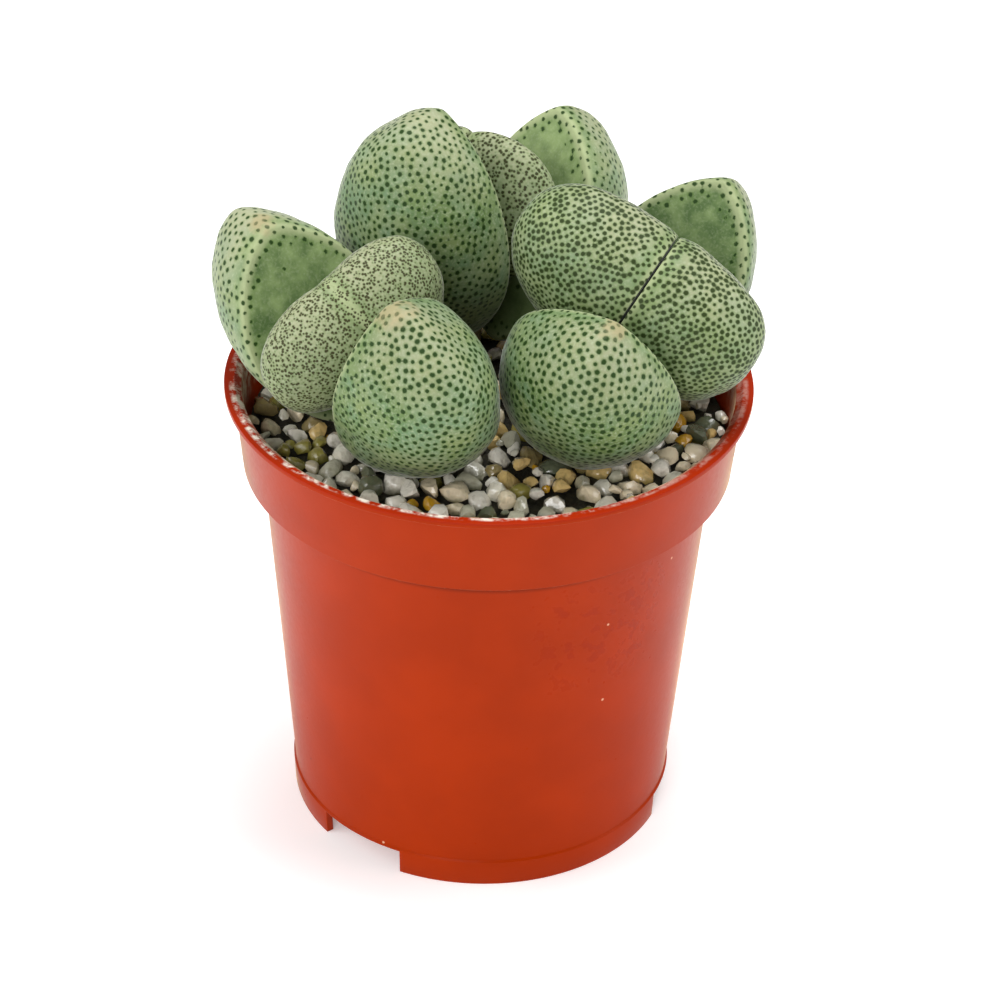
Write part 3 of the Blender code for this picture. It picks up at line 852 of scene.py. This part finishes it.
def pale_and_dark_specks(tree, place):
    """Where tiny specks of dust and dirt lie: pale in about a quarter of cells, dark in a fifth."""
    cells = add(tree, "ShaderNodeTexVoronoi", (place, 0.3))
    speck = add(tree, RANGE, (cells, 0.055, 0.035))
    chances = add(tree, "ShaderNodeSeparateXYZ", (cells.outputs["Color"],)).outputs
    specks = []
    for chance, bar in zip(chances, (0.72, 0.8)):
        chosen = add(tree, MATH, (chance, bar), "GREATER_THAN")
        specks.append(add(tree, MATH, (chosen, speck), "MULTIPLY"))
    return specks


def pot_plastic(settings):
    """Injection-moulded polypropylene: satin and slightly oily, with lime and dried splashes on it."""
    material, tree, shader = surface("moulded_polypropylene")
    place = millimetres(tree)
    x, y, z = add(tree, "ShaderNodeSeparateXYZ", (place,)).outputs
    level = add(tree, "ShaderNodeCombineXYZ", (x, y, 0.0))
    top = settings.height / MM

    # The rim's land is redder, and the wall drifts a little in tone over 8 mm.
    drift = add(tree, NOISE, (place, 0.12, 3.0))
    drift = add(tree, RANGE, (drift, 0.35, 0.65))
    land = add(tree, RANGE, (z, top - 0.4, top - 0.1))
    # Painted shade: a dark band 2 mm wide in the corner under the collar.
    collar_shade = add(tree, RANGE, (z, COLLAR_BOTTOM - 2.0, COLLAR_BOTTOM - 1.3, 0.0, 0.7))
    under = add(tree, MATH, (z, COLLAR_BOTTOM - 0.03), "LESS_THAN")
    collar_shade = add(tree, MATH, (collar_shade, under), "MULTIPLY")
    lime = lime_crust(tree, place, level, z, land, top)
    splash = dried_splashes(tree, place, level, z)
    stain = add(tree, MATH, (splash, 0.55), "MULTIPLY")
    pale, dark = pale_and_dark_specks(tree, place)
    layers = (
        (drift, "#9A2B00"),
        (land, "#9C2606"),
        (collar_shade, "#4A1504"),
        (lime, "#E2D8CA"),
        (stain, "#932505"),
        (pale, "#D9A081"),
        (dark, "#3A1A0C"),
    )

    fine = add(tree, NOISE, (place, 1.8, 3.0))
    gloss = add(tree, RANGE, (fine, 0.0, 1.0, 0.24, 0.38))
    gloss = add(tree, MIX, (lime, gloss, 0.9))
    relief = add(tree, MATH, (lime, 3.0, fine), "MULTIPLY_ADD")
    bump = {"Strength": 0.12, "Distance": 0.05 * MM, "Height": relief}
    # The sheen is a film of lime dust, too thin to see face on, that pales the wall where it turns.
    finish = {
        "Base Color": layered(tree, settings.colour, layers),
        "Roughness": add(tree, MIX, (splash, gloss, 0.12)),
        "Specular IOR Level": 0.06,
        "Sheen Weight": 1.0,
        "Sheen Roughness": 0.16,
        "Sheen Tint": linear("#FFDDB0"),
        "Normal": add(tree, "ShaderNodeBump", bump),
    }
    feed(tree, shader, finish)
    return material


def chip_mesh(rng, name):
    """One grit chip of unit radius: a ball with a few broken flats, its corners worn round."""
    bm = bmesh.new()
    bmesh.ops.create_icosphere(bm, subdivisions=2, radius=1.0)
    flats = []
    for _ in range(CHIP_FLATS):
        way = Vector((rng.gauss(0, 1), rng.gauss(0, 1), rng.gauss(0, 1))).normalized()
        flats.append((way, rng.uniform(0.55, 0.82)))
    for vertex in bm.verts:
        for way, reach in flats:
            past = vertex.co.dot(way) - reach
            if past > 0:
                vertex.co -= way * past
    bm.transform(Matrix.Diagonal((1.25, rng.uniform(0.85, 1.1), rng.uniform(0.75, 1.0), 1.0)))
    mesh = mesh_of(name, bm, scale=1.0)
    smooth(mesh, 32)
    return mesh


def chip_tree():
    """Lays a chip on each point, at its own radius, turn and shape, and keeps its tone."""
    tree = new_tree("grit_chips", {"Chips": "Collection", "Stone": "Material"})
    given = add(tree, "NodeGroupInput").outputs
    chips = add(
        tree,
        "GeometryNodeCollectionInfo",
        {"Collection": given["Chips"], "Separate Children": True, "Reset Children": True},
    )
    which, spin, radius = stored(tree, chip="INT", spin="FLOAT_VECTOR", radius="FLOAT")
    laid = add(
        tree,
        "GeometryNodeInstanceOnPoints",
        {
            "Points": given["Geometry"],
            "Instance": chips,
            "Pick Instance": True,
            "Instance Index": which,
            "Rotation": add(tree, "FunctionNodeEulerToRotation", (spin,)),
            "Scale": radius,
        },
    )
    end_tree(tree, laid, given["Stone"])
    return tree


def quartz_grit():
    """Crushed river quartz, damp: glassy white, grey, tan and olive chips with a wet sparkle."""
    material, tree, shader = surface("damp_quartz_grit")
    place = millimetres(tree)
    tone = add(tree, "ShaderNodeAttribute", attribute_name="tone").outputs["Fac"]
    ramp = add(tree, "ShaderNodeValToRGB", (tone,))
    ramp.color_ramp.interpolation = "CONSTANT"
    stops = ramp.color_ramp.elements
    stops.remove(stops[1])
    stops[0].color = linear("#FFFAEC")
    tones = {
        0.28: "#FFF0CF",
        0.46: "#C9C7B0",
        0.54: "#F0CF88",
        0.65: "#D9A428",
        0.7: "#A39A4C",
        0.78: "#F2EEDC",
        0.88: "#A08F60",
        0.94: "#6A7058",
    }
    for position, code in tones.items():
        stops.new(position).color = linear(code)
    veins = add(tree, NOISE, (place, 1.1, 4.0))
    veins = add(tree, RANGE, (veins, 0.55, 0.75, 0.0, 0.45))
    # Moss-green slime creeps up the lower flanks of the chips, and the darkening low down between them is
    # also painted shade.
    height = add(tree, "ShaderNodeSeparateXYZ", (place,)).outputs["Z"]
    moss_and_shade = add(tree, NOISE, (place, 0.6, 3.0))
    moss_and_shade = add(tree, MATH, (moss_and_shade, -2.0, height), "MULTIPLY_ADD")
    moss_and_shade = add(tree, RANGE, (moss_and_shade, 44.9, 44.0, 0.0, 0.85))
    fine = add(tree, NOISE, (place, 1.7, 4.0))
    bump = {"Strength": 0.8, "Distance": 0.25 * MM, "Height": fine}
    # The coat is a film of water over each chip.
    finish = {
        "Base Color": layered(tree, ramp, ((veins, "#7D6F4A"), (moss_and_shade, "#5C5A16"))),
        "Roughness": 0.12,
        "IOR": 1.54,
        "Coat Weight": 1.0,
        "Coat Roughness": 0.05,
        "Normal": add(tree, "ShaderNodeBump", bump),
    }
    feed(tree, shader, finish)
    return material


def damp_earth(name, dark, light):
    """Damp peat and grit dust: crumbly, near black where wet, with a moss-green cast."""
    material, tree, shader = surface(name)
    crumbs = add(tree, NOISE, (millimetres(tree), 1.4, 6.0, 0.7))
    crumbs = add(tree, RANGE, (crumbs, 0.35, 0.7))
    bump = {"Strength": 0.8, "Distance": 0.3 * MM, "Height": crumbs}
    finish = {
        "Base Color": layered(tree, linear(dark), [(crumbs, light)]),
        "Roughness": 0.7,
        "Normal": add(tree, "ShaderNodeBump", bump),
    }
    feed(tree, shader, finish)
    return material


def bare_bed(level, top):
    """The dust and fine grit under the chips: a disc with a crumbly top."""
    bottom = LEDGE_TOP + GAP
    crest = level - BED_DROP
    outer = collar_inner_radius(crest, top) - GAP
    profile = [(collar_inner_radius(bottom, top) - GAP, bottom), (outer, crest)]
    profile += [(outer * (1 - i / BED_RINGS), crest) for i in range(1, BED_RINGS)]
    bm = turned(profile, BED_SIDES)
    for vertex in bm.verts:
        if vertex.co.z > crest - NEAR and vertex.co.xy.length < outer - NEAR:
            vertex.co.z += BED_CRUMBS * noise.fractal(vertex.co * 0.9, 0.8, 2.0, 4)
    return bm


def leaf_surfaces():
    """The grown leaves as search trees, in millimetres from the pot's axis."""
    back = Matrix.Translation((-POT_AXIS[0], -POT_AXIS[1], 0)) @ Matrix.Scale(1 / MM, 4)
    trees = []
    for leaf in LEAVES:
        bm = bmesh.new()
        bm.from_mesh(bpy.data.objects[f"skin_{leaf.plant}_{leaf.name}"].data)
        bm.transform(back)
        trees.append(BVHTree.FromBMesh(bm))
        bm.free()
    return trees


def has_room(spot, radius, key, grid):
    """Whether a chip there stays clear of the stems and of the chips in the cells about it."""
    if any((spot - Vector(at)).length < STEM_RADIUS + radius + GAP for at in CROWNS.values()):
        return False
    near = [
        other
        for i in (-1, 0, 1)
        for k in (-1, 0, 1)
        for other in grid.get((key[0] + i, key[1] + k), ())
    ]
    return not any((spot - at).length < CHIP_CLOSENESS * (radius + size) for at, size in near)


def chip_places(rng, settings, trees, top):
    """Centres and radii of the chips: the largest first, the rest in the room that is left."""
    level = settings.level / MM
    largest = settings.largest / MM
    bands = (
        (largest, 0.78 * largest, 700),
        (0.8 * largest, 0.6 * largest, 5000),
        (0.6 * largest, 0.4 * largest, 3000),
        (0.36 * largest, settings.smallest / MM, 1500),
    )
    reach = collar_inner_radius(level, top) - CHIP_WALL_ROOM
    cell = 2 * largest
    grid = {}
    places = []
    for high, low, tries in bands:
        for _ in range(tries):
            radius = rng.uniform(low, high)
            turn = rng.uniform(0, math.tau)
            spot = Vector(polar((reach - radius) * math.sqrt(rng.random()), turn))
            key = (int(spot.x // cell), int(spot.y // cell))
            if not has_room(spot, radius, key, grid):
                continue
            centre = spot.to_3d()
            centre.z = level - radius * CHIP_SINK + rng.uniform(*CHIP_SCATTER)
            for leaf in trees:
                found = leaf.find_nearest(centre, radius + CHIP_LEAF_REACH)
                if found[0] is not None:
                    centre.z -= max(0.0, radius + CHIP_LEAF_ROOM - found[3])
            if centre.z + radius < level - CHIP_DEEPEST:
                continue
            grid.setdefault(key, []).append((spot, radius))
            places.append((centre, radius))
    return places


def chip_points(rng, places):
    """A mesh of bare points, each with the radius, tone, turn and shape of its chip."""
    points = bpy.data.meshes.new("grit_chips")
    points.from_pydata([centre * MM for centre, _ in places], [], [])
    kinds = {"radius": "FLOAT", "tone": "FLOAT", "spin": "FLOAT_VECTOR", "chip": "INT"}
    for name, kind in kinds.items():
        points.attributes.new(name, kind, "POINT")
    made = {name: points.attributes[name].data for name in kinds}
    for index, (_, radius) in enumerate(places):
        made["radius"][index].value = radius * MM
        made["tone"][index].value = rng.random()
        tilt = (rng.uniform(-CHIP_TILT, CHIP_TILT), rng.uniform(-CHIP_TILT, CHIP_TILT))
        made["spin"][index].vector = (*tilt, rng.uniform(0, math.tau))
        made["chip"][index].value = rng.randrange(CHIP_SHAPES)
    return points


class SPLITROCK_OT_leaves(bpy.types.Operator):
    """Grow the twelve leaves with their dots"""

    bl_idname = "split_rock.leaves"
    bl_label = "Grow the leaves"

    def execute(self, context):
        settings = context.scene.split_rock_leaves
        tree = leaf_tree()
        skin = leaf_skin(settings)
        for number, leaf in enumerate(LEAVES):
            name = f"{leaf.plant}_{leaf.name}"
            obj = new_object(f"skin_{name}", bpy.data.meshes.new(f"leaf_{name}"))
            run_tree(obj, tree, leaf_inputs(leaf, number, settings, skin))
            obj.data.transform(leaf_matrix(leaf))
            settle(obj, f"leaf_{name}")
        return {"FINISHED"}


class SPLITROCK_OT_pot(bpy.types.Operator):
    """Turn the pot, cut its notches and drain holes, and round its edges"""

    bl_idname = "split_rock.pot"
    bl_label = "Make the pot"

    def execute(self, context):
        settings = context.scene.split_rock_pot
        mesh = mesh_of("pot_shell", turned(pot_profile(settings), POT_SIDES, closed_loop=True))
        pot = new_object("pot_shell", mesh, pot_plastic(settings))
        cuts = [notch_block(azimuth) for azimuth in NOTCH_AZIMUTHS]
        profile = ((DRAIN_RADIUS, FLOOR_UNDERSIDE - 1), (DRAIN_RADIUS, FLOOR_TOP + 1))
        for azimuth in DRAIN_AZIMUTHS:
            centre = polar(DRAIN_RING_RADIUS, math.radians(azimuth))
            cuts.append(turned(profile, HOLE_SIDES, centre=centre))
        cut_away(pot, cuts)
        bevel = pot.modifiers.new("rounding", "BEVEL")
        bevel.width = EDGE_ROUNDING * MM
        bevel.segments = 3
        bevel.limit_method = "ANGLE"
        bevel.angle_limit = math.radians(20)
        bevel.harden_normals = False
        freeze(pot)
        smooth(pot.data, 40)
        settle(pot, "pot")
        return {"FINISHED"}


class SPLITROCK_OT_grit(bpy.types.Operator):
    """Fill the collar with a bed of fines and lay the chips on it"""

    bl_idname = "split_rock.grit"
    bl_label = "Lay the grit"

    def execute(self, context):
        settings = context.scene.split_rock_grit
        top = context.scene.split_rock_pot.height / MM
        level = settings.level / MM
        earth = damp_earth("wet_grit_dust", "#16130C", "#3E3A22")
        bed = new_object("grit_bed", mesh_of("grit_bed", bare_bed(level, top)), earth)
        hole = ((STEM_RADIUS + GAP, LEDGE_TOP - 1), (STEM_RADIUS + GAP, level + 2))
        cut_away(bed, [turned(hole, HOLE_SIDES, centre=centre) for centre in CROWNS.values()])
        smooth(bed.data, 60)

        rng = random.Random(settings.seed)
        places = chip_places(rng, settings, leaf_surfaces(), top)
        chips = bpy.data.collections.new("chips")
        for number in range(CHIP_SHAPES):
            mesh = chip_mesh(rng, f"chip_{number}")
            chips.objects.link(bpy.data.objects.new(mesh.name, mesh))
        grit = new_object("grit_chips", chip_points(rng, places))
        run_tree(grit, chip_tree(), {"Chips": chips, "Stone": quartz_grit()})
        for chip in list(chips.objects):
            bpy.data.objects.remove(chip, do_unlink=True)
        bpy.data.collections.remove(chips)
        for piece in (bed, grit):
            settle(piece, "grit")
        return {"FINISHED"}


class SPLITROCK_OT_inside(bpy.types.Operator):
    """Give the potting mix and the stems their materials"""

    bl_idname = "split_rock.inside"
    bl_label = "Dress mix and stems"

    def execute(self, context):
        peat = damp_earth("moist_peat", "#1C140D", "#4A3524")
        cork = damp_earth("corky_stem", "#5B4E33", "#8C8158")
        looks = {"potting_mix": peat, "stem_left": cork, "stem_rear": cork, "stem_right": cork}
        for name, material in looks.items():
            for slot in frame["nodes"][name].material_slots:
                slot.material = material
        return {"FINISHED"}


def white_floor():
    """A sheet of white paper on a light table: its own faint glow keeps it white beside the pot."""
    bm = bmesh.new()
    bmesh.ops.create_grid(bm, x_segments=1, y_segments=1, size=FLOOR_SIZE)
    material, tree, shader = surface("white_paper")
    finish = {
        "Base Color": linear("#F7F7F7"),
        "Roughness": 0.9,
        "Emission Color": WHITE,
        "Emission Strength": 0.25,
    }
    feed(tree, shader, finish)
    return new_object("floor", mesh_of("floor", bm), material)


def hang_lights(scene):
    """Soft windows on both sides, a box above and a fill in front, with the room's own light."""
    world = bpy.data.worlds.new("studio")
    world.use_nodes = True
    feed(world.node_tree, world.node_tree.nodes["Background"], {"Color": WHITE, "Strength": 0.3})
    scene.world = world
    lights = (
        ("left_window", (-0.5, -0.1, 0.35), (0.35, 0.6), 1.8),
        ("right_window", (0.5, -0.05, 0.35), (0.35, 0.6), 1.6),
        ("top_box", (0.05, 0.1, 0.7), (0.35, 0.35), 3.4),
        ("front_fill", (-0.2, -0.67, 0.4), (0.4, 0.3), 2.2),
    )
    for name, place, size, power in lights:
        light = bpy.data.lights.new(name, "AREA")
        light.shape = "RECTANGLE"
        light.size, light.size_y = size
        light.energy = power
        obj = bpy.data.objects.new(name, light)
        obj.location = place
        aim = Vector(LIGHTS_AIM) - Vector(place)
        obj.rotation_euler = aim.to_track_quat("-Z", "Y").to_euler()
        scene.collection.objects.link(obj)


def set_camera(scene):
    """The photo's view: from about 30 degrees above, with a long lens and a slight roll."""
    camera = bpy.data.cameras.new("camera")
    camera.lens = CAMERA_LENS
    camera.sensor_width = 36.0
    camera.clip_start = 0.01
    rim = Vector((POT_AXIS[0] * MM, POT_AXIS[1] * MM, RIM_HEIGHT))
    at = rim + Vector(CAMERA_PLACE)
    aim = rim + Vector(CAMERA_AIM)
    turn = (aim - at).to_track_quat("-Z", "Y").to_matrix().to_4x4()
    roll = Matrix.Rotation(math.radians(CAMERA_ROLL_DEG), 4, "Z")
    obj = bpy.data.objects.new("camera", camera)
    obj.matrix_world = Matrix.Translation(at) @ turn @ roll
    scene.collection.objects.link(obj)
    scene.camera = obj


class SPLITROCK_OT_studio(bpy.types.Operator):
    """Set the white floor, the lights and the camera"""

    bl_idname = "split_rock.studio"
    bl_label = "Set the studio"

    def execute(self, context):
        white_floor()
        hang_lights(context.scene)
        set_camera(context.scene)
        context.scene.view_settings.view_transform = "Standard"
        return {"FINISHED"}


class SPLITROCK_PT_panel(bpy.types.Panel):
    """Lists the settings and the steps"""

    bl_idname = "SPLITROCK_PT_panel"
    bl_label = "Potted split rock"
    bl_space_type = "VIEW_3D"
    bl_region_type = "UI"
    bl_category = "Split rock"

    def draw(self, context):
        for group in GROUPS:
            settings = getattr(context.scene, group)
            box = self.layout.box()
            for name in settings.__annotations__:
                box.prop(settings, name)
        for step in STEPS:
            self.layout.operator(step.bl_idname)


STEPS = (
    SPLITROCK_OT_leaves,
    SPLITROCK_OT_pot,
    SPLITROCK_OT_grit,
    SPLITROCK_OT_inside,
    SPLITROCK_OT_studio,
)
GROUPS = {
    "split_rock_pot": PotSettings,
    "split_rock_grit": GritSettings,
    "split_rock_leaves": LeafSettings,
}


def register():
    for made in (*GROUPS.values(), *STEPS, SPLITROCK_PT_panel):
        bpy.utils.register_class(made)
    for name, group in GROUPS.items():
        setattr(bpy.types.Scene, name, PointerProperty(type=group))


def unregister():
    for name in GROUPS:
        delattr(bpy.types.Scene, name)
    for made in reversed((*GROUPS.values(), *STEPS, SPLITROCK_PT_panel)):
        bpy.utils.unregister_class(made)


def main():
    register()
    bpy.ops.split_rock.leaves()
    bpy.ops.split_rock.pot()
    bpy.ops.split_rock.grit()
    bpy.ops.split_rock.inside()
    bpy.ops.split_rock.studio()


if __name__ == "__main__":
    main()
